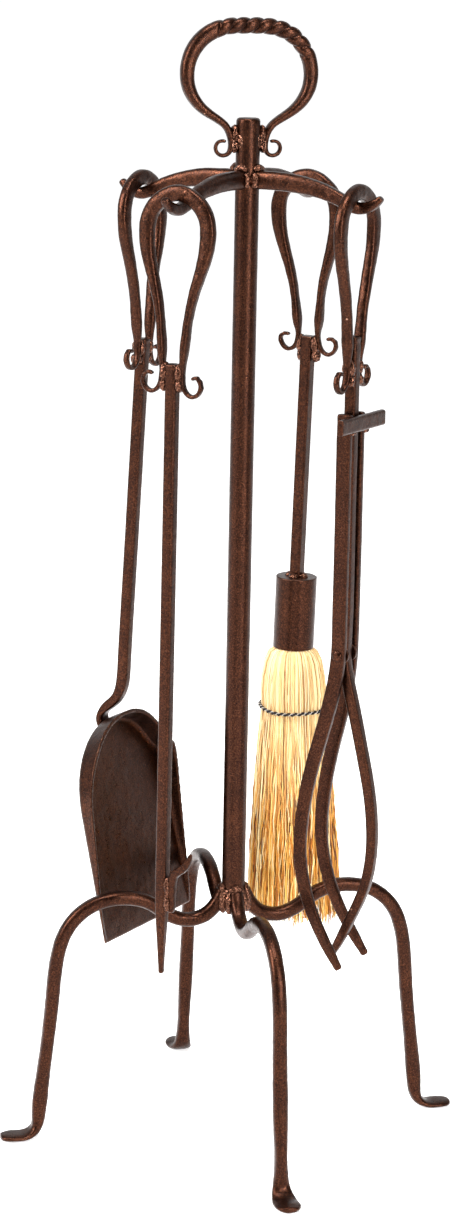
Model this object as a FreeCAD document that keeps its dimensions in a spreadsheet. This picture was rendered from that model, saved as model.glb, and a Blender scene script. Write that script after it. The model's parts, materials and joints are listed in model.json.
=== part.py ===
"""Fireplace tool set: a four-legged stand with a carry handle, and a poker, tongs, brush and shovel.

Millimetres, +Z up. The origin is on the floor, on the post's axis. The poker hangs at -Y, the
tongs at +X, the brush at +Y and the shovel at -X. The legs stand on the diagonals between them.
Each hanging tool and each leg is drawn in its own frame, x outward from the post and y across,
and its Placement turns it about the post to its side.
"""
import FreeCAD, Part
import math
import os
import Sketcher

os.makedirs("parts", exist_ok=True)

Vector = FreeCAD.Vector
Rotation = FreeCAD.Rotation
Placement = FreeCAD.Placement
UP = Vector(0, 0, 1)
ACROSS = Vector(0, 1, 0)
OUTWARD = Vector(1, 0, 0)

TURNS = {"tongs": 0, "brush": 90, "shovel": 180, "poker": 270}
LEG_TURNS = {"back_right": 45, "back_left": 135, "front_left": 225, "front_right": 315}
HANDLE_TURN = -45
NOSE_LENGTH = 1.4
FLAT_BAR = 5.0
ROUND_BAR = 2.4
SOFT_SQUARE_BAR = 4.5
QUARTER_STEPS = 6
QUARTER_KNOTS = list(range(QUARTER_STEPS + 1))

SIZES = {
    "post_radius": 8,
    "post_bottom": 156,
    "post_top": 697,
    "post_crown": 2.5,
    "leg_thick": 10,
    "foot_width": 18,
    "foot_thick": 5,
    "arm_height": 12.5,
    "arm_width": 9,
    "seat_level": 643.2,
    "handle_bar": 11,
    "handle_half_width": 41.5,
    "handle_top": 756,
    "loop_bar": 10.8,
    "loop_depth": 8,
    "loop_top": 653.7,
    "scroll_bar": 3.2,
    "rod_side": 8.2,
    "rod_corner": 1.2,
    "rod_top": 546,
    "tongs_rod_top": 561,
    "poker_tip": 137,
    "ferrule_radius": 14.3,
    "ferrule_bore": 13.1,
    "ferrule_length": 51,
    "ferrule_inside": 49,
    "ferrule_top": 377,
    "brush_bottom": 137,
    "twine_level": 279,
    "twine_thick": 2.4,
    "twine_radius": 23.2,
    "pan_sheet": 1.6,
    "pan_length": 150,
    "pan_half_width": 60,
    "pan_wall": 17,
    "pan_corner": 5,
    "pan_tilt": 13.7,
    "tongs_plane": 82,
    "pivot_level": 349,
    "rivet_radius": 3,
    "rivet_head_radius": 3.8,
    "rivet_head_high": 1.7,
    "rivet_play": 0.05,
    "side_bar_width": 10.2,
    "side_bar_thick": 5,
    "side_bar_across": 8.6,
    "washer_radius": 6,
    "washer_bore": 3,
    "washer_thick": 1.7,
    "plate_length": 59,
    "plate_high": 10.5,
    "plate_thick": 4.8,
    "plate_level": 504.5,
    "plate_round": 1.8,
}

doc = FreeCAD.newDocument("fireplace_tool_set")
sheet = doc.addObject("Spreadsheet::Sheet", "sizes")
for row, (name, value) in enumerate(SIZES.items(), start=1):
    sheet.set(f"A{row}", name)
    sheet.set(f"B{row}", str(value))
    sheet.setAlias(f"B{row}", name)
doc.recompute()

nodes = []


def size(name):
    """A driving dimension, read from the sheet."""
    return float(getattr(sheet, name))


def about_post(degrees):
    """The Placement that turns a sub-part about the post."""
    return Placement(Vector(), Rotation(UP, degrees))


def keep(obj, label, placement=None):
    """Names a finished sub-part, places it and puts it on the list of nodes."""
    obj.Label = label
    if placement:
        obj.Placement = placement
    nodes.append(obj)
    return obj


def shape_part(label, shape, degrees=0):
    """A sub-part whose shape Part's own functions have made."""
    obj = doc.addObject("Part::Feature", label)
    obj.Shape = shape
    return keep(obj, label, about_post(degrees) * shape.Placement)


# ---------------------------------------------------------------- forged bars

def power(value, exponent):
    return math.copysign(abs(value) ** exponent, value) if abs(value) > 1e-9 else 0.0


def bar_section(centre, side, depth_way, width, depth, squareness):
    """One closed section of a bar: a superellipse, round at squareness 2 and squarer above. It is
    four curves, so that the bar gets four long faces and no seam."""
    def corner_point(angle):
        across = width / 2 * power(math.cos(angle), 2 / squareness)
        deep = depth / 2 * power(math.sin(angle), 2 / squareness)
        return centre + side * across + depth_way * deep

    edges = []
    for quarter in range(4):
        angles = [math.pi / 2 * (quarter + step / QUARTER_STEPS) for step in QUARTER_KNOTS]
        curve = Part.BSplineCurve()
        curve.interpolate([corner_point(angle) for angle in angles], Parameters=QUARTER_KNOTS)
        edges.append(curve.toShape())
    return Part.Wire(edges)


def forged_bar(stations, depth_way, squareness=ROUND_BAR, sections=30, nose=0.6):
    """A bar drawn out along a smooth route. A station is (point, width, depth), with the width
    measured in the bend's plane and the depth along depth_way. nose is how far the last section
    at each end is drawn in, as a hammered end is."""
    points = [station[0] for station in stations]
    steps = [0.0]
    for before, after in zip(points, points[1:]):
        steps.append(steps[-1] + before.distanceToPoint(after))
    route = Part.BSplineCurve()
    route.interpolate(points, Parameters=steps)
    girth = Part.BSplineCurve()
    girths = [Vector(width, depth, step) for (_, width, depth), step in zip(stations, steps)]
    girth.interpolate(girths, Parameters=steps)

    length = steps[-1]
    places = []
    for step in range(sections + 1):
        place = length * (0.5 - 0.5 * math.cos(math.pi * step / sections))
        inset = min(1.0, min(place, length - place) / NOSE_LENGTH)
        places.append((place, nose + (1 - nose) * math.sqrt(1 - (1 - inset) ** 2)))
    wires = []
    for place, drawn_in in places:
        along = route.tangent(place)[0]
        side = depth_way.cross(along)
        width, depth, _ = girth.value(place)
        wires.append(bar_section(
            route.value(place), side.normalize(), depth_way,
            width * drawn_in, depth * drawn_in, squareness))
    return Part.makeLoft(wires, True, False)


# ---------------------------------------------------------------- bodies from sketches

def origin_plane(body, role):
    return next(f for f in body.Origin.OriginFeatures if f.Role == role)


def new_sketch(body, name, role):
    sketch = body.newObject("Sketcher::SketchObject", name)
    sketch.AttachmentSupport = [(origin_plane(body, role), "")]
    sketch.MapMode = "FlatFace"
    return sketch


def bound_outline(sketch, corners):
    """A closed outline of straight lines. Each corner is a pair of aliases on the sheet, with 0
    for a corner that lies on that axis."""
    values = [[size(word) if word else 0 for word in corner] for corner in corners]
    count = len(corners)
    for i in range(count):
        start = Vector(*values[i], 0)
        end = Vector(*values[(i + 1) % count], 0)
        sketch.addGeometry(Part.LineSegment(start, end), False)
    for i in range(count):
        sketch.addConstraint(Sketcher.Constraint("Coincident", i, 2, (i + 1) % count, 1))
    for i, corner in enumerate(corners):
        for word, value, kind, axis in zip(corner, values[i], ("DistanceX", "DistanceY"), (-2, -1)):
            if word:
                made = sketch.addConstraint(Sketcher.Constraint(kind, -1, 1, i, 1, value))
                sketch.setExpression(f"Constraints[{made}]", f"sizes.{word}")
            else:
                sketch.addConstraint(Sketcher.Constraint("PointOnObject", i, 1, axis))


def turned_body(label, corners, placement):
    """A sub-part turned on a lathe: its half outline, revolved about its own Z axis."""
    body = doc.addObject("PartDesign::Body", label)
    sketch = new_sketch(body, f"{label}_outline", "XZ_Plane")
    bound_outline(sketch, corners)
    spin = body.newObject("PartDesign::Revolution", f"{label}_turned")
    spin.Profile = sketch
    spin.ReferenceAxis = (sketch, ["V_Axis"])
    spin.Angle = 360
    sketch.Visibility = False
    doc.recompute()
    return keep(body, label, placement)


def bar_body(label, side_a, side_b, length, corner, placement):
    """A straight bar padded from a centred rectangle up its own Z axis, its long edges eased."""
    body = doc.addObject("PartDesign::Body", label)
    sketch = new_sketch(body, f"{label}_section", "XY_Plane")
    half_a, half_b = size(side_a) / 2, size(side_b) / 2
    corners = [Vector(-half_a, -half_b, 0), Vector(half_a, -half_b, 0),
               Vector(half_a, half_b, 0), Vector(-half_a, half_b, 0)]
    for i in range(4):
        sketch.addGeometry(Part.LineSegment(corners[i], corners[(i + 1) % 4]), False)
    for i in range(4):
        sketch.addConstraint(Sketcher.Constraint("Coincident", i, 2, (i + 1) % 4, 1))
        sketch.addConstraint(Sketcher.Constraint("Vertical" if i % 2 else "Horizontal", i))
    sketch.addConstraint(Sketcher.Constraint("Symmetric", 0, 1, 1, 2, -1, 1))
    for line, word in ((0, side_a), (1, side_b)):
        made = sketch.addConstraint(Sketcher.Constraint("Distance", line, size(word)))
        sketch.setExpression(f"Constraints[{made}]", f"sizes.{word}")
    pad = body.newObject("PartDesign::Pad", f"{label}_pad")
    pad.Profile = sketch
    pad.setExpression("Length", length)
    sketch.Visibility = False
    doc.recompute()
    long_edges = [
        f"Edge{i}" for i, edge in enumerate(pad.Shape.Edges, start=1)
        if abs(edge.tangentAt(edge.FirstParameter).z) > 0.99]
    eased = body.newObject("PartDesign::Fillet", f"{label}_eased")
    eased.Base = (pad, long_edges)
    eased.setExpression("Radius", f"sizes.{corner}")
    doc.recompute()
    return keep(body, label, placement)


def leaning(foot, head):
    """The Placement of a bar drawn up its own Z axis that runs from foot to head."""
    return Placement(foot, Rotation(UP, head - foot))


# ---------------------------------------------------------------- the stand

def make_post():
    body = doc.addObject("PartDesign::Body", "post")
    sketch = new_sketch(body, "post_section", "XY_Plane")
    sketch.addGeometry(Part.Circle(Vector(), UP, size("post_radius")), False)
    sketch.addConstraint(Sketcher.Constraint("Coincident", 0, 3, -1, 1))
    made = sketch.addConstraint(Sketcher.Constraint("Radius", 0, size("post_radius")))
    sketch.setExpression(f"Constraints[{made}]", "sizes.post_radius")
    pad = body.newObject("PartDesign::Pad", "post_pad")
    pad.Profile = sketch
    pad.setExpression("Length", "sizes.post_top - sizes.post_bottom")
    sketch.Visibility = False
    doc.recompute()
    crown = body.newObject("PartDesign::Fillet", "post_crown")
    crown.Base = (pad, [f"Edge{i}" for i, edge in enumerate(pad.Shape.Edges, start=1)
                        if len(edge.Vertexes) == 1])
    crown.setExpression("Radius", "sizes.post_crown")
    doc.recompute()
    return keep(body, "post", Placement(Vector(0, 0, size("post_bottom")), Rotation()))


def post_space():
    """The post's own space, which the bars welded to it stop at."""
    bottom = size("post_bottom") - 20
    return Part.makeCylinder(
        size("post_radius"), size("post_top") + 20 - bottom, Vector(0, 0, bottom))


def make_legs():
    thick, pad_w, pad_t = size("leg_thick"), size("foot_width"), size("foot_thick")
    route = [
        (7, 171), (11, 162.5), (18, 154.6), (28.5, 150.8), (43, 153.8), (59, 164.3), (79, 169),
        (101, 164), (116, 150), (123, 131), (126.5, 101), (132.5, 47.5), (135.8, 17)]
    stations = [(Vector(x, 0, z), thick, thick) for x, z in route]
    stations += [
        (Vector(138.6, 0, 6.4), thick * 0.72, thick * 1.35),
        (Vector(145.5, 0, pad_t / 2 - 0.1), pad_t, pad_w * 0.95),
        (Vector(153, 0, pad_t / 2 - 0.2), pad_t * 0.96, pad_w),
        (Vector(159.5, 0, pad_t / 2 - 0.2), pad_t * 0.9, pad_w * 0.8),
        (Vector(162.5, 0, pad_t / 2 - 0.2), pad_t * 0.8, pad_w * 0.5)]
    leg = forged_bar(stations, ACROSS, ROUND_BAR, 48)
    under_floor = Part.makeBox(400, 100, 20, Vector(0, -50, -20))
    leg = leg.cut(post_space()).cut(under_floor)
    leg = max(leg.Solids, key=lambda solid: solid.Volume)
    for name, degrees in LEG_TURNS.items():
        shape_part(f"leg_{name}", leg, degrees)
    return leg


ARM_SHAPE = [
    # share of the reach, height over the seat's middle, share of the bar's height, of its width
    (0.05, 13.6, 1.0, 1.0), (0.28, 13.8, 1.0, 1.0), (0.46, 12.8, 0.97, 0.98),
    (0.64, 10.2, 0.86, 0.93), (0.79, 6.4, 0.78, 0.88), (0.91, 2.2, 0.7, 0.84),
    (1.0, 0.0, 0.66, 0.78), (1.08, 1.0, 0.6, 0.76), (1.155, 4.4, 0.48, 0.72),
    (1.20, 7.8, 0.36, 0.66)]
REACH = {"tongs": 83, "brush": 83.5, "shovel": 81, "poker": 86}


def make_arms():
    arms = {}
    for tool, reach in REACH.items():
        stations = [
            (Vector(share * reach, 0, size("seat_level") + rise),
             size("arm_height") * tall, size("arm_width") * wide)
            for share, rise, tall, wide in ARM_SHAPE]
        arm = forged_bar(stations, ACROSS, 3.0, 24)
        arm = max(arm.cut(post_space()).Solids, key=lambda solid: solid.Volume)
        arms[tool] = arm
        shape_part(f"hanger_arm_{tool}", arm, TURNS[tool])
    return arms


def make_handle():
    bar, half, top = size("handle_bar"), size("handle_half_width"), size("handle_top")
    right = [
        (14, top - 0.6, bar), (27, top - 5, bar), (36.8, top - 14.5, bar * 0.95),
        (half, top - 28, bar * 0.88), (39.6, top - 42, bar * 0.8), (32, top - 52.5, bar * 0.64),
        (22.5, top - 59.2, bar * 0.52), (15, top - 65, bar * 0.46), (11.8, top - 72.5, 4.4),
        (11.7, top - 79, 3.8), (13.2, top - 82.2, 3.2), (17, top - 83.6, 2.9),
        (20.7, top - 81.8, 2.8), (21.8, top - 78.2, 2.7), (20, top - 75, 2.6),
        (17, top - 74.2, 2.5), (15, top - 74.7, 2.4)]
    left = [(-across, level, thick) for across, level, thick in reversed(right)]
    stations = [
        (Vector(0, across, level), thick, min(thick * 1.6, bar))
        for across, level, thick in left + [(0, top, bar)] + right]
    handle = forged_bar(stations, OUTWARD, ROUND_BAR, 70)
    shape_part("carry_handle", handle, HANDLE_TURN)
    return handle


def bead(centre, across, deep, tall):
    """One lump of weld, an ellipsoid."""
    lump = Part.makeSphere(1)
    stretch = FreeCAD.Matrix()
    stretch.scale(Vector(across, deep, tall))
    lump = lump.transformGeometry(stretch)
    lump.translate(centre)
    return lump


def weld_group(label, beads, neighbours, degrees=0):
    """Weld metal as a group of solids that fills up to its neighbours and stops at them."""
    shape = beads[0].fuse(beads[1:]) if len(beads) > 1 else beads[0]
    shape = shape.cut(neighbours)
    solids = [solid for solid in shape.Solids if solid.Volume > 0.5]
    return shape_part(label, Part.makeCompound(solids), degrees)


def turned(shape, degrees):
    moved = shape.copy()
    moved.rotate(Vector(), UP, degrees)
    return moved


def make_stand_welds(leg, arms, handle):
    post = post_space()
    beads = []
    for side in (1, -1):
        beads.append(bead(Vector(0, side * 9.2, 686), 4.2, 2.6, 6.2))
        beads.append(bead(Vector(1.2, side * 9.6, 678.5), 3.4, 2.2, 4.2))
        beads.append(bead(Vector(5.6, side * 8.4, 681.5), 3.4, 3.2, 5.6))
    weld_group("handle_welds", beads, [post, handle], HANDLE_TURN)

    beads = []
    for tool, degrees in TURNS.items():
        beads.append(turned(bead(Vector(8.6, 0, 664.2), 3.0, 4.6, 2.6), degrees))
        for side in (1, -1):
            beads.append(turned(bead(Vector(8.4, side * 4.8, 657), 2.6, 2.2, 4.8), degrees))
    weld_group("hanger_welds", beads, [post] + [turned(arms[t], TURNS[t]) for t in arms])

    beads = []
    for degrees in LEG_TURNS.values():
        for side in (1, -1):
            beads.append(turned(bead(Vector(8.4, side * 4.9, 163), 3.0, 2.8, 7.5), degrees))
        beads.append(turned(bead(Vector(8.0, 0, 171), 2.8, 5.4, 4.2), degrees))
        beads.append(turned(bead(Vector(8.0, 0, 165.5), 1.8, 4.6, 6.5), degrees + 45))
    weld_group("leg_welds", beads, [post] + [turned(leg, d) for d in LEG_TURNS.values()])


# ---------------------------------------------------------------- grip loops

LOOP_SIDE = [
    # across and drop from the loop's top, in mm, and share of the bar's width
    (12.5, 4.4, 1.0), (20.3, 13.2, 1.0), (22.6, 26.5, 1.0), (20.6, 41, 0.86), (16.4, 55, 0.68),
    (12.2, 70, 0.55), (9.6, 86, 0.5), (8.2, 100, 0.5)]
SCROLL_SIDE = [
    # across from the rod's middle, drop below the end of the loop's side, bar share
    (7.6, 10, 1.2), (7.9, 18, 1.1), (10.6, 24.2, 1.0), (15.4, 26.6, 1.0), (20.4, 23.6, 1.0),
    (21.2, 18, 0.95), (17.8, 14.6, 0.9), (14.8, 16, 0.85)]


def make_loop(label, plane, tilt, sway, start, drops, degrees):
    """A tool's grip loop, in the plane x = plane. tilt moves it outward and sway moves it across,
    per millimetre below its top. start is where its top sits across the arm; drops is how much
    lower each end's scroll hangs."""
    top, bar, scroll = size("loop_top"), size("loop_bar"), size("scroll_bar")

    def place(across, level):
        below = top - level
        return Vector(plane + tilt * below, start + sway * below + across, level)

    end_of_side = LOOP_SIDE[-1][1]
    sides = []
    for side, drop in zip((1, -1), drops):
        branch = [(place(side * across, top - low), bar * share, size("loop_depth"))
                  for across, low, share in LOOP_SIDE]
        for across, low, share in SCROLL_SIDE:
            level = top - end_of_side - low - drop * min(1, low / 18)
            branch.append((place(side * across, level), scroll * share, scroll * share * 1.5))
        sides.append(branch)
    stations = sides[1][::-1] + [(place(0, top), bar, size("loop_depth"))] + sides[0]
    loop = forged_bar(stations, OUTWARD, 2.8, 80)
    shape_part(f"{label}_grip_loop", loop, degrees)
    return loop


def make_grip_welds(label, rod_head, lean, loop, rod, degrees):
    """Welds that fill between the rod's head and the loop's two ends."""
    beads = []
    for side in (1, -1):
        beads.append(bead(rod_head + Vector(0, side * 5.6, -6) + lean * 6, 4.4, 3.0, 6.2))
        beads.append(bead(rod_head + Vector(0.6, side * 5.8, -14) + lean * 14, 4.0, 2.6, 4.2))
    weld_group(f"{label}_grip_welds", beads, [rod, loop], degrees)


# ---------------------------------------------------------------- poker

def make_poker():
    turn = TURNS["poker"]
    side, head_level, tip_level = size("rod_side"), size("rod_top"), size("poker_tip")
    head = Vector(90.3, 0, head_level)
    loop = make_loop("poker", REACH["poker"], 0.04, 0, 0, (1.5, 0), turn)
    stations = [
        (head, side, side),
        (Vector(91.4, 0, 430), side, side),
        (Vector(92.8, 0, 300), side, side),
        (Vector(93.8, 0, 205), side, side),
        (Vector(94, 0, 186), side * 0.97, side * 0.97),
        (Vector(94, 0, 165), side * 0.74, side * 0.74),
        (Vector(93.8, 0, tip_level), side * 0.4, side * 0.4)]
    shaft = forged_bar(stations, ACROSS, SOFT_SQUARE_BAR, 36, 0.55)
    shape_part("poker_shaft", shaft, turn)
    make_grip_welds("poker", head, Vector(0.01, 0, 0), loop, shaft, turn)

    half = side / 2
    barb_route = [
        (half + 2.6, 181, 4.6), (half + 3.0, 190, 5.6), (half + 3.2, 200, 6.0),
        (half + 6.4, 208.5, 6.0), (half + 11.8, 212.5, 5.6), (half + 15.4, 217.5, 4.2),
        (half + 17.4, 223.5, 2.2)]
    stations = [(Vector(93.8, across, level), thick, thick) for across, level, thick in barb_route]
    barb = forged_bar(stations, OUTWARD, 3.2, 14, 0.5).cut(shaft)
    shape_part("poker_barb", barb, turn)
    beads = [
        bead(Vector(93.8 + x, half + 0.9, level), 2.0, 1.9, 6.5)
        for x, level in ((-2.4, 188), (2.4, 188), (-2.2, 198), (2.2, 198))]
    weld_group("poker_barb_weld", beads, [shaft, barb], turn)


# ---------------------------------------------------------------- shovel

def pan_block(half_width, length, wall, corner, clear):
    """The pan's outer or inner form: a D-shaped outline, straight at the lip and round at the
    rear, drawn from the floor face at x = 0 towards -x with its sides flaring."""
    straight = length * 0.6
    flare = 2.2

    def outline(grow, x):
        wide = half_width + grow
        rear = length + grow
        shoulder = wide * 0.96
        lip = Vector(x, -wide, -clear), Vector(x, wide, -clear)
        left, right = Vector(x, -shoulder, straight), Vector(x, shoulder, straight)
        lift = rear - straight
        quarter = [
            Vector(x, side * shoulder * math.cos(math.radians(a)),
                   straight + lift * math.sin(math.radians(a)))
            for side, a in ((1, 0), (1, 30), (1, 60), (1, 90), (-1, 60), (-1, 30), (-1, 0))]
        arch = Part.BSplineCurve()
        arch.interpolate(quarter, InitialTangent=right - lip[1], FinalTangent=lip[0] - left)
        return Part.Wire([
            Part.LineSegment(lip[0], lip[1]).toShape(),
            Part.LineSegment(lip[1], right).toShape(),
            arch.toShape(),
            Part.LineSegment(left, lip[0]).toShape()])

    block = Part.makeLoft([outline(-flare, 0), outline(flare * 0.6, -wall)], True, True)
    rounded = [
        edge for edge in block.Edges
        if abs(edge.BoundBox.XMax) < 0.01 and abs(edge.BoundBox.XMin) < 0.01
        and edge.BoundBox.ZMax > 1]
    return block.makeFillet(corner, rounded)


def make_shovel():
    turn = TURNS["shovel"]
    side, head_level = size("rod_side"), size("rod_top")
    sheet_thick, length, wall = size("pan_sheet"), size("pan_length"), size("pan_wall")
    half_width, corner, tilt = size("pan_half_width"), size("pan_corner"), size("pan_tilt")

    outer = pan_block(half_width, length, wall, corner, 0)
    inner = pan_block(half_width - sheet_thick, length - sheet_thick, wall + 8,
                      corner - sheet_thick, 6)
    inner.translate(Vector(-sheet_thick, 0, 0))
    pan = outer.cut(inner)
    fade = Part.makeBox(60, 200, 260, Vector(-60 - sheet_thick, -100, -20))
    fade.rotate(Vector(-sheet_thick, 0, 0), ACROSS, -math.degrees(math.atan2(wall, length)) * 1.04)
    pan = pan.cut(fade)
    pan.rotate(Vector(), ACROSS, tilt)
    pan.translate(Vector(69.5, 0, 133.5))
    shape_part("shovel_pan", pan, turn)

    head = Vector(78.6, 0, head_level)
    loop = make_loop("shovel", REACH["shovel"], -0.023, 0, 0, (0, 0.8), turn)
    tail = Vector(math.sin(math.radians(tilt)), 0, math.cos(math.radians(tilt)))
    back = Vector(69.5, 0, 133.5) + tail * (length - 4)
    outward = Vector(tail.z, 0, -tail.x)
    flat = 3.6
    lie = back + outward * (flat / 2 + 0.1)
    stations = [
        (head, side, side),
        (Vector(83, 0, 463), side, side),
        (Vector(87.3, 0, 383), side, side),
        (Vector(90.9, 0, 316), side, side),
        (Vector(92.6, 0, 301), side * 0.98, side),
        (Vector(97.4, 0, 291.5), side * 0.86, side * 1.1),
        (lie + tail * 4 + outward * 1.8, side * 0.66, side * 1.35),
        (lie - tail * 8, flat, side * 1.75),
        (lie - tail * 22, flat, side * 1.9),
        (lie - tail * 34, flat * 0.95, side * 1.7)]
    shaft = forged_bar(stations, ACROSS, SOFT_SQUARE_BAR, 36).cut(pan)
    shape_part("shovel_shaft", max(shaft.Solids, key=lambda solid: solid.Volume), turn)
    make_grip_welds("shovel", head, Vector(0.05, 0, 0), loop, shaft, turn)
    beads = [
        bead(lie - tail * along + Vector(0, hand * side, 0), 2.2, 2.8, 5.5)
        for along in (9, 24) for hand in (1, -1)]
    weld_group("shovel_pan_welds", beads, [shaft, pan], turn)


# ---------------------------------------------------------------- brush

BRUSH_RINGS = 10
BRUSH_SWELL = [
    # share of the way down from the ferrule, radius
    (0.0, 13.2), (0.08, 18.2), (0.17, 20.8), (0.28, 22.0), (0.5, 26.0), (0.78, 29.5), (1.0, 31.0)]


def make_brush():
    turn = TURNS["brush"]
    side, head_level = size("rod_side"), size("rod_top")
    plane = REACH["brush"]
    head = Vector(plane, -2.6, head_level)
    foot = Vector(plane, 2.1, size("ferrule_top") - 0.5)
    down = (foot - head).normalize()
    loop = make_loop("brush", plane, 0, -0.034, 1.2, (-8, -6.5), turn)
    rod = bar_body(
        "brush_shaft", "rod_side", "rod_side", "sizes.rod_top - sizes.ferrule_top",
        "rod_corner", about_post(turn) * leaning(foot, head))
    rod_space = Part.makeBox(side, side, 200, Vector(-side / 2, -side / 2, 0))
    rod_space.Placement = leaning(foot, head)
    make_grip_welds("brush", head, Vector(0, -0.03, 0), loop, rod_space, turn)

    cup_foot = foot + down * size("ferrule_length")
    turned_body(
        "brush_ferrule",
        [(0, "ferrule_length"), (0, "ferrule_inside"), ("ferrule_bore", "ferrule_inside"),
         ("ferrule_bore", 0), ("ferrule_radius", 0), ("ferrule_radius", "ferrule_length")],
        about_post(turn) * leaning(cup_foot, foot))
    beads = [
        bead(foot + Vector(x, y, 0.2), 3.2, 3.2, 2.4)
        for x, y in ((5.1, 0), (0, 5.1), (-5.1, 0), (0, -5.1))]
    cup_space = Part.makeCylinder(size("ferrule_radius"), size("ferrule_length"))
    cup_space.Placement = leaning(cup_foot, foot)
    weld_group("brush_ferrule_weld", beads, [rod_space, cup_space], turn)

    bore, bottom = size("ferrule_bore"), size("brush_bottom")
    span = cup_foot.z - bottom
    centre_at_bottom = Vector(plane + 4, -1.5, bottom)
    drift = centre_at_bottom - cup_foot
    swell = Part.BSplineCurve()
    swell.interpolate([Vector(share, radius, 0) for share, radius in BRUSH_SWELL],
                      Parameters=[share for share, _ in BRUSH_SWELL])
    rings = []
    for step in range(BRUSH_RINGS + 1):
        share = step / BRUSH_RINGS
        radius = swell.value(share).y
        centre = Vector(cup_foot.x + drift.x * share, cup_foot.y + drift.y * share,
                        cup_foot.z - 0.8 + (drift.z + 0.8) * share)
        rings.append(bar_section(centre, OUTWARD, ACROSS, 2 * radius, 2 * radius, 2))
    plug = Part.makeCylinder(bore, size("ferrule_inside") + 5)
    plug.Placement = leaning(cup_foot + down * 5, foot)
    bundle = Part.makeLoft(rings, True, False).fuse(plug)
    shape_part("brush_bristles", bundle, turn)

    level = size("twine_level")
    share = (cup_foot.z - level) / span
    centre = cup_foot + drift * share
    band = doc.addObject("Part::Torus", "brush_twine")
    band.setExpression("Radius1", "sizes.twine_radius")
    band.setExpression("Radius2", "sizes.twine_thick / 2")
    keep(band, "brush_twine", about_post(turn) * Placement(
        Vector(centre.x, centre.y, level), Rotation(OUTWARD, 3)))


# ---------------------------------------------------------------- tongs

def make_tongs():
    turn = TURNS["tongs"]
    plane, pivot = size("tongs_plane"), size("pivot_level")
    side, head_level = size("rod_side"), size("tongs_rod_top")
    wide, thick = size("side_bar_width"), size("side_bar_thick")
    across = size("side_bar_across")
    pin_radius, play = size("rivet_radius"), size("rivet_play")
    pin_length = 2 * across + thick + 0.3

    loop = make_loop("tongs", REACH["tongs"], -0.01, 0, 0, (0, 1.5), turn)
    head = Vector(plane, 0, head_level)
    centre_route = [
        (head_level, 0, 1.0), (500, 0, 1.0), (430, 0, 1.0), (pivot + 14, 0, 1.0),
        (pivot - 8, 0.6, 0.98), (323, 5.0, 0.95), (284, 15.0, 0.92), (256, 21.3, 0.9),
        (228, 24.4, 0.88), (208, 23.6, 0.86), (188, 19.2, 0.84), (168, 10.7, 0.8),
        (147, 0.8, 0.7), (138, -4.0, 0.5)]
    stations = [
        (Vector(plane + out, 0, level), side * share, side * share)
        for level, out, share in centre_route]
    shaft = forged_bar(stations, ACROSS, SOFT_SQUARE_BAR, 36)
    bore = Part.makeCylinder(
        pin_radius + play, 40, Vector(plane, -20, pivot), ACROSS)
    shaft = shaft.cut(bore)
    shape_part("tongs_shaft", shaft, turn)
    make_grip_welds("tongs", Vector(plane, 0, size("rod_top")), Vector(), loop, shaft, turn)

    tine_route = [
        (size("plate_level") + 6, 0, 0, 1.0), (440, 0, 0, 1.0), (pivot + 14, 0, 0, 1.0),
        (pivot - 4, -0.4, 0.1, 1.0), (325, -3.0, 1.1, 1.0), (301, -8.2, 2.4, 0.98),
        (270, -16, 4.0, 0.95), (240, -21, 5.4, 0.92), (214, -22, 6.6, 0.9), (186, -16.4, 7.9, 0.86),
        (162, -5.5, 9.0, 0.8), (143, 7.0, 9.9, 0.66), (135.5, 12.2, 10.3, 0.5)]
    pin_space = Part.makeCylinder(pin_radius, 60, Vector(plane, -30, pivot), ACROSS)
    bars = {}
    for name, hand in (("front", -1), ("rear", 1)):
        stations = [
            (Vector(plane + out, hand * (across + spread), level), wide * share, thick * share)
            for level, out, spread, share in tine_route]
        bars[name] = forged_bar(stations, ACROSS, FLAT_BAR, 32).cut(pin_space)
        shape_part(f"tongs_side_bar_{name}", bars[name], turn)
        turned_body(
            f"tongs_washer_{name}",
            [("washer_bore", 0), ("washer_radius", 0), ("washer_radius", "washer_thick"),
             ("washer_bore", "washer_thick")],
            about_post(turn) * Placement(
                Vector(plane, hand * (across - thick / 2), pivot), Rotation(UP, ACROSS * -hand)))

    rivet = Part.makeCylinder(pin_radius, pin_length, Vector(plane, -pin_length / 2, pivot), ACROSS)
    for hand in (1, -1):
        head_shape = bead(
            Vector(plane, hand * pin_length / 2, pivot), size("rivet_head_radius"),
            size("rivet_head_high"), size("rivet_head_radius"))
        beyond = pin_length / 2 if hand > 0 else -pin_length / 2 - 20
        half_space = Part.makeBox(40, 20, 40, Vector(plane - 20, beyond, pivot - 20))
        rivet = rivet.fuse(head_shape.common(half_space))
    shape_part("tongs_pivot_rivet", rivet.removeSplitter(), turn)

    plate_foot = Vector(
        plane + wide / 2 + size("plate_thick") / 2 + 0.1, -size("plate_length") / 2,
        size("plate_level"))
    bar_body(
        "tongs_finger_plate", "plate_thick", "plate_high", "sizes.plate_length", "plate_round",
        about_post(turn) * Placement(plate_foot, Rotation(UP, ACROSS)))
    beads = [
        bead(Vector(plane + wide / 2 + 0.9, hand * (across + along), size("plate_level") - 5.6),
             1.5, 1.8, 1.9)
        for hand in (1, -1) for along in (-1.1, 1.1)]
    plate_space = Part.makeBox(
        size("plate_thick"), size("plate_length"), size("plate_high"),
        plate_foot - Vector(size("plate_thick") / 2, 0, size("plate_high") / 2))
    weld_group("tongs_plate_welds", beads, [plate_space, bars["front"], bars["rear"]], turn)


make_post()
leg_shape = make_legs()
arm_shapes = make_arms()
handle_shape = make_handle()
make_stand_welds(leg_shape, arm_shapes, handle_shape)
make_poker()
make_shovel()
make_brush()
make_tongs()
doc.recompute()

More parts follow.
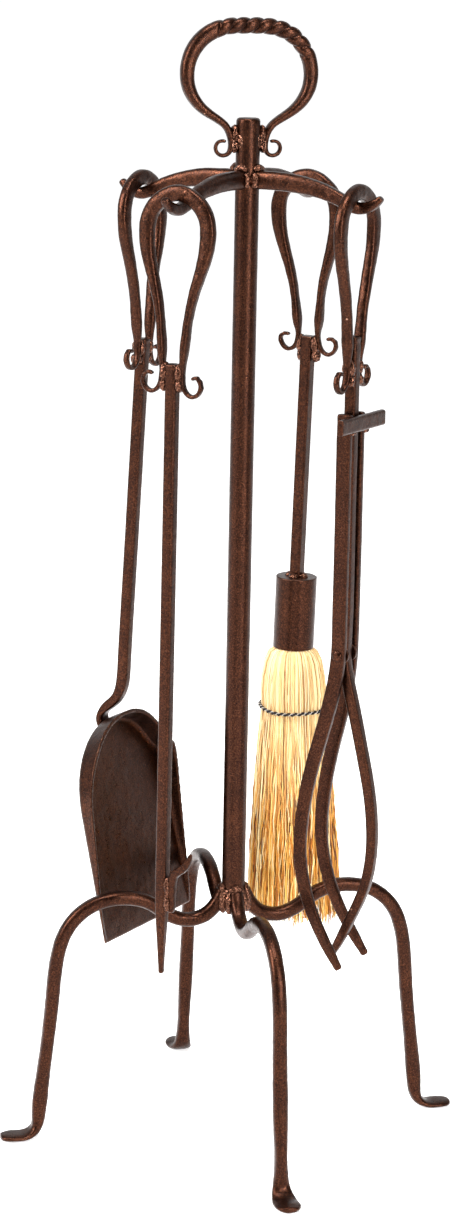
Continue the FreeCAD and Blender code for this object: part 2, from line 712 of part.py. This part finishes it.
for obj in doc.Objects:
    if "Invalid" in obj.State or "Error" in obj.State:
        raise RuntimeError(f"{obj.Label} failed: {obj.State}")
for node in nodes:
    if node.Shape.isNull() or not node.Shape.isValid():
        raise RuntimeError(f"{node.Label} has no valid shape")
    solids = node.Shape.Solids
    print(f"{node.Label:24s} solids {len(solids)} volume {node.Shape.Volume:10.1f}")
    node.Shape.exportStep(f"parts/{node.Label}.step")
whole = Part.makeCompound([node.Shape for node in nodes]).BoundBox
print(f"{len(nodes)} nodes, box {whole}")
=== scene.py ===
"""Looks of the fireplace tool set: forged copper-brown iron, a straw brush and its twine.

The frame is the CAD one: +Z up, the post on the Z axis, the poker at -Y, the tongs at +X, the brush
at +Y and the shovel at -X. Lengths are in metres, and those written times MM are in millimetres.
"""
import json
import math
import random

import bmesh
import bpy
import numpy as np
from mathutils import Matrix, Vector, noise
from mathutils.bvhtree import BVHTree

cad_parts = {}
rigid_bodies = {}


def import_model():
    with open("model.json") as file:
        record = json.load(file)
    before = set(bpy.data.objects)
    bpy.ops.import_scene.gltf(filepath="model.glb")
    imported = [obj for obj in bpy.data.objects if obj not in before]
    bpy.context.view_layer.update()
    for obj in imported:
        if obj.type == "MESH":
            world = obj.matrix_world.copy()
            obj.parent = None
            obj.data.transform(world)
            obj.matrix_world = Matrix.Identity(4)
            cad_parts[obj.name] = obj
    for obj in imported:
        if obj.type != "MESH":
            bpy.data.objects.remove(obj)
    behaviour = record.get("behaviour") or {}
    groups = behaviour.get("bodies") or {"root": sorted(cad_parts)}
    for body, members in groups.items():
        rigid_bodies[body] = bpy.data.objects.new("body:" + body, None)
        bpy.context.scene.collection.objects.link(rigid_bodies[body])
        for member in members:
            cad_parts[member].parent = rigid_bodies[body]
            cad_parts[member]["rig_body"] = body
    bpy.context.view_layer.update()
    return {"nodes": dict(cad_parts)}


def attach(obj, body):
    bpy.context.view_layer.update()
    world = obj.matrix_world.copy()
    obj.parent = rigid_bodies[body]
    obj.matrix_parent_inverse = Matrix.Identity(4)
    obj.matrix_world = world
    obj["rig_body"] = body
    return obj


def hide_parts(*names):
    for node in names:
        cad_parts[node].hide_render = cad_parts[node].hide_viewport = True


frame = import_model()

MM = 0.001
random.seed(20)


# ---------------------------------------------------------------- node helpers

WHITE = (1, 1, 1, 1)


def new_material(name):
    material = bpy.data.materials.new(name)
    material.use_nodes = True
    material.node_tree.nodes.clear()
    return material, material.node_tree.nodes, material.node_tree.links


def clouds(nodes, links, where, scale, detail=3.0, rough=0.5, distort=0.0):
    node = nodes.new("ShaderNodeTexNoise")
    node.inputs["Scale"].default_value = scale
    node.inputs["Detail"].default_value = detail
    node.inputs["Roughness"].default_value = rough
    node.inputs["Distortion"].default_value = distort
    links.new(where, node.inputs["Vector"])
    return node.outputs["Fac"]


def ramp(nodes, links, value, stops):
    node = nodes.new("ShaderNodeValToRGB")
    band = node.color_ramp
    while len(band.elements) < len(stops):
        band.elements.new(0.5)
    for element, (place, colour) in zip(band.elements, stops):
        element.position = place
        element.color = (*colour, 1)
    links.new(value, node.inputs["Fac"])
    return node.outputs["Color"]


def grey(nodes, links, value, low, high, out_low, out_high):
    """Maps a value from one span onto another, clamped."""
    node = nodes.new("ShaderNodeMapRange")
    for name, number in zip(("From Min", "From Max", "To Min", "To Max"),
                            (low, high, out_low, out_high)):
        node.inputs[name].default_value = number
    links.new(value, node.inputs["Value"])
    return node.outputs["Result"]


def mix(nodes, links, share, first, second):
    """Goes from the first colour to the second as the share rises from 0 to 1."""
    node = nodes.new("ShaderNodeMix")
    node.data_type = "RGBA"
    for name, kind, value in (("Factor", "VALUE", share), ("A", "RGBA", first),
                              ("B", "RGBA", second)):
        socket = next(i for i in node.inputs if i.name == name and i.type == kind)
        if hasattr(value, "is_output"):
            links.new(value, socket)
        else:
            socket.default_value = (*value, 1)
    return next(o for o in node.outputs if o.type == "RGBA")


def maths(nodes, links, how, first, second):
    node = nodes.new("ShaderNodeMath")
    node.operation = how
    for i, value in enumerate((first, second)):
        if hasattr(value, "is_output"):
            links.new(value, node.inputs[i])
        else:
            node.inputs[i].default_value = value
    return node.outputs["Value"]


def blend(nodes, links, first, first_weight, second, second_weight):
    """The weighted sum of two values."""
    return maths(nodes, links, "ADD",
                 maths(nodes, links, "MULTIPLY", first, first_weight),
                 maths(nodes, links, "MULTIPLY", second, second_weight))


def bump(nodes, links, height, strength, distance, under=None):
    node = nodes.new("ShaderNodeBump")
    node.inputs["Strength"].default_value = strength
    node.inputs["Distance"].default_value = distance
    links.new(height, node.inputs["Height"])
    if under is not None:
        links.new(under, node.inputs["Normal"])
    return node.outputs["Normal"]


def finished(nodes, links, shader):
    """Joins the shader to the material's output."""
    out = nodes.new("ShaderNodeOutputMaterial")
    links.new(shader.outputs["BSDF"], out.inputs["Surface"])


# ---------------------------------------------------------------- metal

FLECK = (0.50, 0.20, 0.11)
# painted highlight, mixed with rubbed wear, for convex edges
EDGE_HIGHLIGHT_AND_WEAR = (0.66, 0.34, 0.23)
# painted shade for hollows and grooves
PAINTED_HOLLOW_SHADE = (0.012, 0.006, 0.005)


def forged_iron(name, deep, mid, bright, speckle, rough_low, rough_high):
    """A satin copper-brown coat over forged steel: mottled and speckled, with a painted highlight
    mixed with rubbed wear on its convex edges and painted shade in its hollows.
    """
    material, nodes, links = new_material(name)
    where = nodes.new("ShaderNodeTexCoord").outputs["Object"]
    patches = clouds(nodes, links, where, 55, 4, 0.6)
    grain = clouds(nodes, links, where, 900, 3, 0.7)
    flecks = clouds(nodes, links, where, 1500, 2, 0.6)
    marks = clouds(nodes, links, where, 210, 2, 0.5, 0.4)

    mottled = blend(nodes, links, patches, 0.2, grain, 0.8)
    colour = ramp(nodes, links, mottled, [(0.38, deep), (0.5, mid), (0.64, bright)])
    fleck_mask = grey(nodes, links, flecks, 0.60, 0.68, 0.0, speckle)
    colour = mix(nodes, links, fleck_mask, colour, FLECK)
    curvature = nodes.new("ShaderNodeNewGeometry").outputs["Pointiness"]
    # convex edges get a painted highlight mixed with rubbed wear
    edge = grey(nodes, links, curvature, 0.545, 0.66, 0.0, 0.7)
    edge = maths(nodes, links, "MULTIPLY", edge, grey(nodes, links, marks, 0.35, 0.6, 0.3, 1.0))
    colour = mix(nodes, links, edge, colour, EDGE_HIGHLIGHT_AND_WEAR)
    # hollows get painted shade
    hollow = grey(nodes, links, curvature, 0.40, 0.49, 0.85, 0.0)
    colour = mix(nodes, links, hollow, colour, PAINTED_HOLLOW_SHADE)

    shader = nodes.new("ShaderNodeBsdfPrincipled")
    links.new(colour, shader.inputs["Base Color"])
    shader.inputs["Metallic"].default_value = 0.93
    shader.inputs["Specular IOR Level"].default_value = 0.5
    uneven = blend(nodes, links, marks, 0.6, grain, 0.4)
    roughness = grey(nodes, links, uneven, 0.35, 0.65, rough_low, rough_high)
    links.new(roughness, shader.inputs["Roughness"])
    shader.inputs["Coat Weight"].default_value = 0.05
    shader.inputs["Coat Roughness"].default_value = 0.35
    normal = bump(nodes, links, marks, 0.35, 0.6 * MM)
    normal = bump(nodes, links, grain, 0.30, 0.25 * MM, normal)
    links.new(normal, shader.inputs["Normal"])
    finished(nodes, links, shader)
    return material


iron = forged_iron("forged_iron", speckle=0.14, rough_low=0.26, rough_high=0.42,
                   deep=(0.012, 0.0034, 0.0015), mid=(0.028, 0.0080, 0.0032),
                   bright=(0.070, 0.022, 0.009))
weld = forged_iron("weld_metal", speckle=0.35, rough_low=0.20, rough_high=0.40,
                   deep=(0.020, 0.007, 0.004), mid=(0.062, 0.022, 0.012),
                   bright=(0.24, 0.105, 0.062))


# ---------------------------------------------------------------- camera, floor and light

EYE = (1.0209, -1.7680, 0.8280)
EYE_FORWARD = (-0.4907, 0.8429, -0.2206)
EYE_UP = (-0.1274, 0.1811, 0.9752)
LENS = 91.14


def linked_object(name, data):
    """A new object that holds the data, put into the scene."""
    thing = bpy.data.objects.new(name, data)
    bpy.context.scene.collection.objects.link(thing)
    return thing


def make_camera():
    """The picture's viewpoint, fitted to the stand's post and legs."""
    data = bpy.data.cameras.new("camera")
    camera = linked_object("camera", data)
    forward = Vector(EYE_FORWARD).normalized()
    right = forward.cross(Vector(EYE_UP)).normalized()
    up = right.cross(forward)
    turn = Matrix((right, up, -forward)).transposed()
    camera.matrix_world = Matrix.Translation(EYE) @ turn.to_4x4()
    data.sensor_width = 36
    data.lens = LENS
    data.clip_end = 200
    bpy.context.scene.camera = camera


LAMPS_AIM = Vector((0, 0, 0.4))


def area_light(name, place, width, height, power):
    data = bpy.data.lights.new(name, "AREA")
    data.shape = "RECTANGLE"
    data.size, data.size_y = width, height
    data.energy = power
    light = linked_object(name, data)
    light.location = place
    light.rotation_mode = "QUATERNION"
    light.rotation_quaternion = (LAMPS_AIM - Vector(place)).to_track_quat("-Z", "Y")


# the paper behind the object is lit brighter than the room in front of it
PAPER_WAY = (-0.50, 0.86, 0)
PAPER, ROOM = 0.90, 0.22
FLOOR_GLOW = 0.58
FLOOR_HALF = 60


def make_floor():
    mesh = bpy.data.meshes.new("floor")
    mesh.from_pydata([(-FLOOR_HALF, -FLOOR_HALF, 0), (FLOOR_HALF, -FLOOR_HALF, 0),
                      (FLOOR_HALF, FLOOR_HALF, 0), (-FLOOR_HALF, FLOOR_HALF, 0)],
                     [], [(0, 1, 2, 3)])
    floor = linked_object("floor", mesh)
    material, nodes, links = new_material("floor_paper")
    shader = nodes.new("ShaderNodeBsdfPrincipled")
    shader.inputs["Base Color"].default_value = (0.93, 0.93, 0.93, 1)
    shader.inputs["Roughness"].default_value = 0.9
    shader.inputs["Specular IOR Level"].default_value = 0.1
    shader.inputs["Emission Color"].default_value = WHITE
    shader.inputs["Emission Strength"].default_value = FLOOR_GLOW
    finished(nodes, links, shader)
    mesh.materials.append(material)


def make_world():
    world = bpy.data.worlds.new("studio")
    world.use_nodes = True
    nodes, links = world.node_tree.nodes, world.node_tree.links
    way = nodes.new("ShaderNodeTexCoord").outputs["Generated"]
    towards = nodes.new("ShaderNodeVectorMath")
    towards.operation = "DOT_PRODUCT"
    links.new(way, towards.inputs[0])
    towards.inputs[1].default_value = PAPER_WAY
    strength = grey(nodes, links, towards.outputs["Value"], -0.2, 0.55, ROOM, PAPER)
    links.new(strength, nodes["Background"].inputs["Strength"])
    nodes["Background"].inputs["Color"].default_value = WHITE
    bpy.context.scene.world = world


def make_stage():
    make_floor()
    make_world()
    area_light("key", (-1.5, -1.9, 1.7), 0.32, 1.8, 112)
    area_light("fill", (2.0, -1.0, 1.1), 0.22, 1.6, 50)
    area_light("top", (0.2, -0.5, 2.5), 1.0, 0.5, 55)
    bpy.context.scene.view_settings.view_transform = "Standard"


# ---------------------------------------------------------------- straw and twine

PALE_ABOVE, GOLDEN_BELOW = 290 * MM, 200 * MM


def straw_material():
    """Broom fibre: pale straw at the head, and golden with brown stems towards the tips."""
    material, nodes, links = new_material("bristle")
    place = nodes.new("ShaderNodeTexCoord").outputs["Object"]
    split = nodes.new("ShaderNodeSeparateXYZ")
    links.new(place, split.inputs["Vector"])
    own = nodes.new("ShaderNodeNewGeometry").outputs["Random Per Island"]
    stretch = nodes.new("ShaderNodeMapping")
    stretch.inputs["Scale"].default_value = (1, 1, 0.06)
    links.new(place, stretch.inputs["Vector"])
    streak = clouds(nodes, links, stretch.outputs["Vector"], 700, 3, 0.6)
    shade = maths(nodes, links, "SUBTRACT", blend(nodes, links, own, 0.85, streak, 0.45), 0.12)
    pale = ramp(nodes, links, shade, [
        (0.12, (0.34, 0.14, 0.035)), (0.26, (0.70, 0.44, 0.17)), (0.50, (0.80, 0.57, 0.26)),
        (0.92, (0.86, 0.71, 0.44))])
    golden = ramp(nodes, links, shade, [
        (0.18, (0.11, 0.028, 0.006)), (0.32, (0.52, 0.16, 0.020)), (0.50, (0.84, 0.38, 0.055)),
        (0.72, (0.92, 0.55, 0.14)), (0.95, (0.96, 0.80, 0.46))])
    lower = grey(nodes, links, split.outputs["Z"], PALE_ABOVE, GOLDEN_BELOW, 0.0, 1.0)
    colour = mix(nodes, links, lower, pale, golden)
    shader = nodes.new("ShaderNodeBsdfPrincipled")
    links.new(colour, shader.inputs["Base Color"])
    links.new(grey(nodes, links, streak, 0.3, 0.7, 0.42, 0.68), shader.inputs["Roughness"])
    shader.inputs["Specular IOR Level"].default_value = 0.35
    links.new(bump(nodes, links, streak, 0.3, 0.3 * MM), shader.inputs["Normal"])
    finished(nodes, links, shader)
    return material


def twine_material(name, dark, light):
    """Cotton ply with fine fibres lying along it."""
    material, nodes, links = new_material(name)
    place = nodes.new("ShaderNodeTexCoord").outputs["Object"]
    fuzz = clouds(nodes, links, place, 2600, 3, 0.7)
    colour = ramp(nodes, links, fuzz, [(0.35, dark), (0.7, light)])
    shader = nodes.new("ShaderNodeBsdfPrincipled")
    links.new(colour, shader.inputs["Base Color"])
    links.new(grey(nodes, links, fuzz, 0.3, 0.7, 0.75, 0.95), shader.inputs["Roughness"])
    shader.inputs["Specular IOR Level"].default_value = 0.2
    links.new(bump(nodes, links, fuzz, 0.5, 0.2 * MM), shader.inputs["Normal"])
    finished(nodes, links, shader)
    return material


straw = straw_material()
# painted shade: a dark brown material for the bundle's core, so the gaps between the fibres look
# shaded
straw_painted_shade = twine_material("bristle_painted_shade", (0.05, 0.018, 0.005), (0.22, 0.10, 0.03))
black_ply = twine_material("twine_black", (0.006, 0.005, 0.006), (0.035, 0.03, 0.032))
white_ply = twine_material("twine_white", (0.36, 0.33, 0.28), (0.74, 0.70, 0.63))


# ---------------------------------------------------------------- forged pieces

def new_piece(name, mesh, body):
    """A smooth-shaded object that moves with a rigid body."""
    piece = linked_object(name, mesh)
    for polygon in mesh.polygons:
        polygon.use_smooth = True
    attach(piece, body)
    return piece


SAME_POINT = 0.002 * MM


def merged(mesh):
    """The mesh as a closed surface, with the doubled points of its flat-shaded edges joined."""
    work = bmesh.new()
    work.from_mesh(mesh)
    bmesh.ops.remove_doubles(work, verts=work.verts, dist=SAME_POINT)
    return work


def even_copy(node, voxel):
    """A CAD node's surface again, as an even net of squares about one voxel wide."""
    work = merged(frame["nodes"][node].data)
    mesh = bpy.data.meshes.new(node + "_even")
    work.to_mesh(mesh)
    surface = BVHTree.FromBMesh(work)
    work.free()
    carrier = linked_object(node + "_carrier", mesh)
    remesh = carrier.modifiers.new("even", "REMESH")
    remesh.mode = "VOXEL"
    remesh.voxel_size = voxel
    graph = bpy.context.evaluated_depsgraph_get()
    even = bpy.data.meshes.new_from_object(carrier.evaluated_get(graph))
    bpy.data.objects.remove(carrier)
    bpy.data.meshes.remove(mesh)
    for vertex in even.vertices:
        nearest = surface.find_nearest(vertex.co, 2 * voxel)[0]
        if nearest is not None:
            vertex.co = nearest
    return even


def points_of(mesh, what="co"):
    flat = np.empty(len(mesh.vertices) * 3)
    mesh.vertices.foreach_get(what, flat)
    return flat.reshape(-1, 3)


def press_in(mesh, depths):
    """Moves each point inwards along its normal."""
    moved = points_of(mesh) - points_of(mesh, "normal") * np.asarray(depths)[:, None]
    mesh.vertices.foreach_set("co", moved.ravel())
    mesh.update()


def hammer(mesh, span, depth, fine, offset):
    """Shallow round hammer dents about one span apart, over a finer unevenness."""
    depths = []
    for place in points_of(mesh):
        spot = Vector(place) / span + offset
        near = noise.voronoi(spot)[0][0]
        dent = max(0.0, 1 - near * near * 1.5)
        rough = noise.noise(spot * 3.1) * 0.5 + 0.5
        depths.append(dent * depth + rough * fine)
    press_in(mesh, depths)


def lump(mesh, span, depth, offset):
    """Uneven swellings about one span apart, for weld beads."""
    depths = []
    for place in points_of(mesh):
        spot = Vector(place) / span + offset
        depths.append(depth * (-0.3 - 0.6 * noise.noise(spot) - 0.4 * noise.noise(spot * 2.3)))
    press_in(mesh, depths)


# the carry handle's arch: across and up, in mm
ARCH = [(-41.5, 728), (-36.8, 741.5), (-27, 751), (-14, 755.4), (0, 756), (14, 755.4),
        (27, 751), (36.8, 741.5), (41.5, 728), (39.6, 714)]
HANDLE_WAY = Vector((math.sqrt(0.5), math.sqrt(0.5), 0))
HANDLE_FRONT = Vector((math.sqrt(0.5), -math.sqrt(0.5), 0))
TWIST_START, TWIST_END = -26 * MM, 50 * MM
TWIST_FADE = 6 * MM
TWIST_ABOVE = 715 * MM
GROOVE_GAP = 8.8 * MM
GROOVE_DEPTH = 1.9 * MM
GROOVE_SHARPNESS = 1.15
STARTS = 2
ARCH_STEPS = 24


def arch_line():
    """Points and lengths along the top of the carry handle, in its own plane."""
    line = []
    corners = [np.array(corner) * MM for corner in ARCH]
    for i in range(1, len(corners) - 2):
        before, first, last, after = corners[i - 1:i + 3]
        for t in np.linspace(0, 1, ARCH_STEPS, endpoint=False):
            line.append(0.5 * (2 * first + (last - before) * t
                               + (2 * before - 5 * first + 4 * last - after) * t ** 2
                               + (3 * first - before - 3 * last + after) * t ** 3))
    line = np.array(line)
    runs = np.concatenate([[0], np.cumsum(np.linalg.norm(np.diff(line, axis=0), axis=1))])
    return line, runs - runs[np.argmin(np.abs(line[:, 0]))]


def twist(mesh):
    """Rope grooves round the top of the handle, where the bar was twisted."""
    line, runs = arch_line()
    ahead = np.gradient(line, axis=0)
    ahead /= np.linalg.norm(ahead, axis=1)[:, None]
    depths = []
    for place in points_of(mesh):
        spot = Vector(place)
        flat = np.array([spot.dot(HANDLE_WAY), spot.z])
        if flat[1] < TWIST_ABOVE:
            depths.append(0.0)
            continue
        i = int(np.argmin(((line - flat) ** 2).sum(axis=1)))
        out = np.array([-ahead[i, 1], ahead[i, 0]])
        out *= 1 if out[1] > 0 else -1
        angle = math.atan2(spot.dot(HANDLE_FRONT), float((flat - line[i]) @ out))
        run = runs[i] + float((flat - line[i]) @ ahead[i])
        wave = STARTS * angle / (2 * math.pi) + run / GROOVE_GAP
        side = 2 * (wave - math.floor(wave)) - 1
        side = abs(side) ** GROOVE_SHARPNESS
        groove = 1 - math.sqrt(max(0.0, 1 - side * side))
        fade = min(1.0, max(0.0, min(run - TWIST_START, TWIST_END - run) / TWIST_FADE))
        depths.append(GROOVE_DEPTH * groove * fade)
    press_in(mesh, depths)


# part of a node's name: voxel, hammer span, hammer depth, fine depth, all in mm; the last row
# that fits a name counts
HAMMERING = {
    "post": (1.1, 9, 0.07, 0.06),
    "leg": (0.8, 8, 0.14, 0.10),
    "hanger_arm": (0.7, 7, 0.20, 0.12),
    "carry_handle": (0.45, 7, 0.12, 0.08),
    "grip_loop": (0.65, 8, 0.22, 0.14),
    "pan": (0.8, 11, 0.16, 0.06),
    "shaft": (0.65, 9, 0.07, 0.05),
    "side_bar": (0.6, 9, 0.10, 0.06),
    "plate": (0.6, 8, 0.12, 0.08),
    "ferrule": (0.7, 10, 0.04, 0.04),
    "barb": (0.5, 6, 0.15, 0.10),
    "washer": (0.35, 4, 0.05, 0.05),
    "rivet": (0.3, 4, 0.08, 0.10),
}


WELD_VOXEL, WELD_VOXEL_QUICK = 0.35 * MM, 0.7 * MM
WELD_SPAN, WELD_DEPTH = 2.6 * MM, 0.9 * MM
QUICK_COARSER = 1.7


def forge_all():
    """Replaces every metal node by an evenly meshed copy that is hammered or lumpy."""
    for number, name in enumerate(sorted(frame["nodes"])):
        if name in ("brush_bristles", "brush_twine"):
            continue
        offset = Vector((number * 7.3, number * 3.1, number * 1.7))
        welded = "weld" in name
        if welded:
            mesh = even_copy(name, WELD_VOXEL)
            lump(mesh, WELD_SPAN, WELD_DEPTH, offset)
        else:
            key = next(key for key in reversed(HAMMERING) if key in name)
            voxel, span, depth, fine = (value * MM for value in HAMMERING[key])
            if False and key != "pan":
                voxel *= QUICK_COARSER
            mesh = even_copy(name, voxel)
            if name == "carry_handle":
                twist(mesh)
            hammer(mesh, span, depth, fine, offset)
        mesh.materials.append(weld if welded else iron)
        piece = new_piece(name + "_forged", mesh, frame["nodes"][name]["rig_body"])
        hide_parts(name)


# ---------------------------------------------------------------- the brush

CUP_FOOT = Vector((-3.5, 83.5, 325.5)) * MM
BUNDLE_FOOT = Vector((0.2, 86.7, 137)) * MM
# share of the way down from the ferrule, radius in mm
BUNDLE = [(-0.04, 12.2), (0.0, 13.4), (0.015, 17.4), (0.05, 20.4), (0.10, 22.2), (0.17, 23.4),
          (0.225, 22.8), (0.28, 23.8), (0.5, 27.6), (0.78, 31.4), (1.0, 33.0)]
OUTER_STATIONS = [-0.04, 0.0, 0.015, 0.05, 0.11, 0.17, 0.225, 0.29, 0.36, 0.43, 0.50, 0.57, 0.64,
                  0.71, 0.78, 0.85, 0.92, 1.0]
INNER_STATIONS = [-0.04, 0.0, 0.05, 0.225, 0.45, 0.7, 0.85, 1.0]
TWINE_SHARE = 0.225
TIP_SIZE = 0.45


def bundle_radius(share):
    """The bundle's radius, a share of the way down from the ferrule to the tips."""
    shares, radii = zip(*BUNDLE)
    return float(np.interp(share, shares, radii)) * MM


def bundle_point(share, angle, radius):
    centre = CUP_FOOT.lerp(BUNDLE_FOOT, share)
    return centre + Vector((math.cos(angle), math.sin(angle), 0)) * radius


def add_strand(vertices, faces, line, thick):
    """A three-sided fibre along a line, drawn out to a thin tip."""
    first = len(vertices)
    turn = random.uniform(0, 2 * math.pi)
    for i, point in enumerate(line):
        size = thick * (1 if i < len(line) - 1 else TIP_SIZE)
        for k in range(3):
            angle = turn + k * 2 * math.pi / 3
            vertices.append(point + Vector((math.cos(angle), math.sin(angle), 0)) * size / 2)
    for i in range(len(line) - 1):
        for k in range(3):
            a, b = first + 3 * i + k, first + 3 * i + (k + 1) % 3
            faces.append((a, a + 3, b + 3, b))
    last = first + 3 * (len(line) - 1)
    faces.append((last, last + 1, last + 2))
    faces.append((first + 2, first + 1, first))


def fibre_line(stations, ratio, thick):
    """One fibre's way down: gathered at the twine, then free, crinkled and a little splayed."""
    angle = random.uniform(0, 2 * math.pi)
    drift, splay = random.gauss(0, 0.07), random.gauss(0, 0.03)
    length = 1 + random.gauss(0, 0.024)
    if random.random() < 0.06:
        length -= random.uniform(0.03, 0.12)
    line = []
    for share in stations:
        along = share * length if share > 0.5 else share
        free = max(0.0, along - TWINE_SHARE)
        loose = MM * (0.25 + min(1.0, 3 * free)) * (along > 0.03)
        radius = bundle_radius(along) * (ratio + splay * free) - thick / 2
        radius += random.gauss(0, 0.42) * loose
        turn = angle + drift * along + random.gauss(0, 0.55) * loose / max(radius, 4 * MM)
        line.append(bundle_point(along, turn, max(radius, 0)))
    return line


def make_fibres(name, count, stations, low_ratio, high_ratio):
    """Loose fibres between two shares of the bundle's radius."""
    vertices, faces = [], []
    for _ in range(count):
        thick = random.uniform(0.6, 1.1) * MM
        ratio = math.sqrt(random.uniform(low_ratio ** 2, high_ratio ** 2))
        add_strand(vertices, faces, fibre_line(stations, ratio, thick), thick)
    mesh = bpy.data.meshes.new(name)
    mesh.from_pydata(vertices, [], faces)
    mesh.materials.append(straw)
    return new_piece(name, mesh, "brush")


def make_core():
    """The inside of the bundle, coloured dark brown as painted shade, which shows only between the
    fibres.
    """
    vertices, faces = [], []
    sides, ridges = 48, 17
    levels = [-0.04, 0.0, 0.015, 0.05, 0.1, 0.17, 0.25, 0.33, 0.5, 0.7, 0.9]
    for share in levels:
        for k in range(sides):
            angle = 2 * math.pi * k / sides
            ridge = 0.5 * MM * math.sin(angle * ridges + share * 9)
            radius = bundle_radius(share) * 0.90 - 1.2 * MM + ridge * (share > 0.1)
            vertices.append(bundle_point(share, angle, radius))
    for i in range(len(levels) - 1):
        for k in range(sides):
            a, b = i * sides + k, i * sides + (k + 1) % sides
            faces.append((a, a + sides, b + sides, b))
    faces.append(tuple(range(sides)))
    faces.append(tuple(reversed(range((len(levels) - 1) * sides, len(levels) * sides))))
    mesh = bpy.data.meshes.new("brush_core")
    mesh.from_pydata(vertices, [], faces)
    mesh.materials.append(straw_painted_shade)
    return new_piece("brush_core", mesh, "brush")


# each ply's thickness, and how far its middle is from the twine's own middle
PLIES = [(1.75 * MM, 0.55 * MM), (0.66 * MM, 0.80 * MM)]
TWINE_OUT = 0.8 * MM


def make_twine():
    """Two plies, one black and one white, laid round each other in a ring about the bundle."""
    vertices, faces, inks = [], [], []
    steps, sides, turns = 440, 8, 30
    centre = CUP_FOOT.lerp(BUNDLE_FOOT, TWINE_SHARE)
    ring = bundle_radius(TWINE_SHARE) + TWINE_OUT
    for ply, (thick, offset) in enumerate(PLIES):
        first = len(vertices)
        for i in range(steps):
            way = 2 * math.pi * i / steps
            out = Vector((math.cos(way), math.sin(way), 0))
            sag = 0.9 * MM * math.cos(way + math.pi / 3) + 0.5 * MM * math.sin(3 * way)
            lay = turns * way + math.pi * ply
            middle = centre + out * (ring + offset * math.cos(lay))
            middle += Vector((0, 0, -sag + offset * math.sin(lay)))
            for k in range(sides):
                round_it = 2 * math.pi * k / sides
                vertices.append(middle + out * (thick / 2 * math.cos(round_it))
                                + Vector((0, 0, thick / 2 * math.sin(round_it))))
        for i in range(steps):
            for k in range(sides):
                a = first + i * sides + k
                b = first + i * sides + (k + 1) % sides
                c = first + (i + 1) % steps * sides + (k + 1) % sides
                d = first + (i + 1) % steps * sides + k
                faces.append((a, b, c, d))
                inks.append(ply)
    mesh = bpy.data.meshes.new("brush_twine_plies")
    mesh.from_pydata(vertices, [], faces)
    mesh.materials.append(black_ply)
    mesh.materials.append(white_ply)
    for polygon, ink in zip(mesh.polygons, inks):
        polygon.material_index = ink
    return new_piece("brush_twine_plies", mesh, "brush")


make_camera()
make_stage()
forge_all()

fewer = 1
fibres = make_fibres("brush_fibres", int(1750 * fewer), OUTER_STATIONS, 0.85, 1.0)
heart = make_fibres("brush_heart_fibres", int(800 * fewer), INNER_STATIONS, 0.0, 0.84)
core = make_core()
twine = make_twine()
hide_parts("brush_bristles")
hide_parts("brush_twine")
